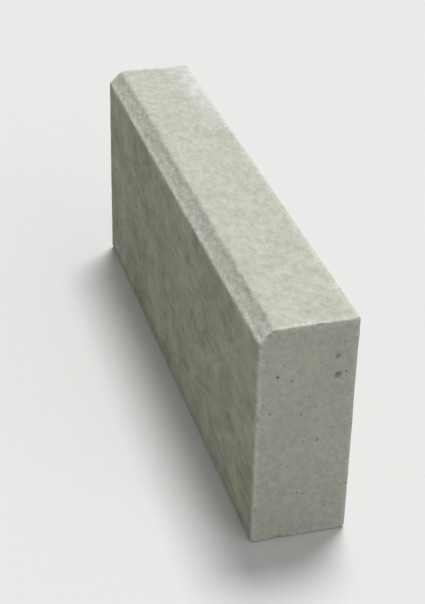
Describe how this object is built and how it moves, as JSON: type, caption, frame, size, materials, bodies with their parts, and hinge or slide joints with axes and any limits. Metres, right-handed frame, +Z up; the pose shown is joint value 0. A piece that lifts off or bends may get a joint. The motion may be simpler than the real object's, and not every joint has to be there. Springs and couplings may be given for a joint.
{
  "type": "concrete kerb stone",
  "caption": "Straight concrete edging kerb with a bevel along its front top edge, plain square ends and a flat narrow bed.",
  "frame": {"origin": "middle of the bed, the narrow face that the stone stands on", "axes": "+X along the stone, -Y out of the bevelled front face, +Y out of the plain back, +Z up from the bed"},
  "size_m": [0.5, 0.08, 0.2],
  "materials": {
    "cast_concrete": "matte"
  },
  "bodies": {
    "root": {"kerb_stone": "cast_concrete"}
  },
  "joints": []
}
